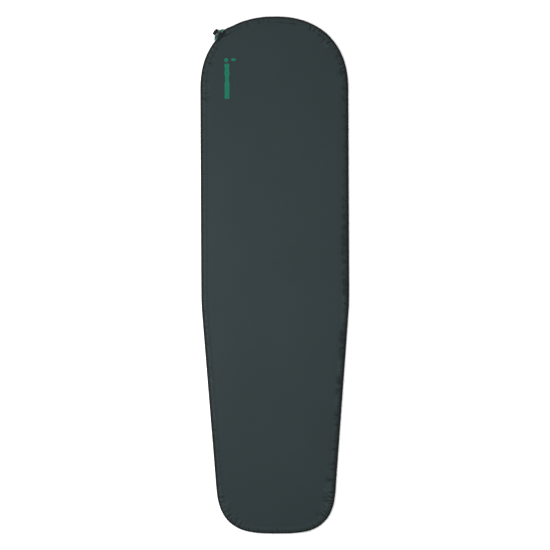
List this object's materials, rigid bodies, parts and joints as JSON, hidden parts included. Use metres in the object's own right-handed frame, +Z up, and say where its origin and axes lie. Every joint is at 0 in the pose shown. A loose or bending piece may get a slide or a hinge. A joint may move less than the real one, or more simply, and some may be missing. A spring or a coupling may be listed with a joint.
{
  "type": "self-inflating sleeping pad",
  "caption": "Long tapered sleeping pad with rounded ends: welded fabric shells over a foam core, and a corner twist valve with turning wings and a rising cap.",
  "frame": {"origin": "centre of the overall box at the level of the underside, which is the face that lies on the ground", "axes": "+Y from the foot to the head, +X to the right seen from above, +Z up; the valve is at the head end on the -X side"},
  "size_m": [0.524, 1.8301, 0.025],
  "materials": {
    "shell_fabric": "dark grey coated woven fabric, matt with a slight sheen",
    "core_foam": "open-cell foam, off-white",
    "print_green": "heat-transfer film, matt green",
    "valve_black": "moulded, fine matt",
    "valve_grey": "moulded, dark grey, semi-gloss",
    "wing_green": "moulded, green",
    "valve_natural": "moulded, uncoloured",
    "seal_rubber": "black, smooth",
    "silicone": "translucent grey, soft",
    "steel": "bright spring steel"
  },
  "bodies": {
    "pad": {"bottom_shell": "shell_fabric", "top_shell": "shell_fabric", "foam_core": "core_foam", "mark_bar": "print_green", "mark_dash": "print_green", "mark_disc": "print_green", "valve_base": "valve_black", "valve_barrel": "valve_black", "barrel_o_ring": "seal_rubber", "barrel_lock_ring": "valve_natural", "wing_o_ring_inner": "seal_rubber", "wing_o_ring_outer": "seal_rubber", "wing_clip": "steel", "check_seat": "valve_natural", "seat_retainer": "steel", "inlet_screen": "valve_natural", "screen_retainer": "valve_natural", "plug_post": "valve_black", "plug_o_ring": "seal_rubber"},
    "wings": {"wing_collar": "valve_grey", "wing_tab_left": "wing_green", "wing_tab_right": "wing_green"},
    "lifter": {"lifter": "valve_natural", "lifter_cross_pin": "steel"},
    "poppet": {"check_poppet": "valve_natural", "poppet_seal": "silicone"},
    "gasket": {"cap_gasket": "silicone"},
    "cap": {"cap": "valve_black"}
  },
  "joints": [
    {"name": "wing_turn", "type": "hinge", "parent": "pad", "child": "wings", "pos_m": [-0.193, 0.84946, 0.0124], "axis": [-0.7749, 0.632, 0], "range_deg": [0, 90]},
    {"name": "lifter_slide", "type": "slide", "parent": "pad", "child": "lifter", "axis": [-0.7749, 0.632, 0], "range_m": [-0.002, 0]},
    {"name": "poppet_slide", "type": "slide", "parent": "pad", "child": "poppet", "axis": [-0.7749, 0.632, 0], "range_m": [-0.002, 0]},
    {"name": "cap_rise", "type": "slide", "parent": "pad", "child": "gasket", "axis": [-0.7749, 0.632, 0], "range_m": [0, 0.0035]},
    {"name": "cap_turn", "type": "hinge", "parent": "gasket", "child": "cap", "pos_m": [-0.193, 0.84946, 0.0124], "axis": [-0.7749, 0.632, 0], "range_deg": [0, 180]}
  ],
  "couplings": [
    {"joint": "lifter_slide", "follows": "wing_turn", "m_per_rad": -0.0012732},
    {"joint": "poppet_slide", "follows": "wing_turn", "m_per_rad": -0.0012732},
    {"joint": "cap_rise", "follows": "cap_turn", "m_per_rad": 0.0011141}
  ]
}
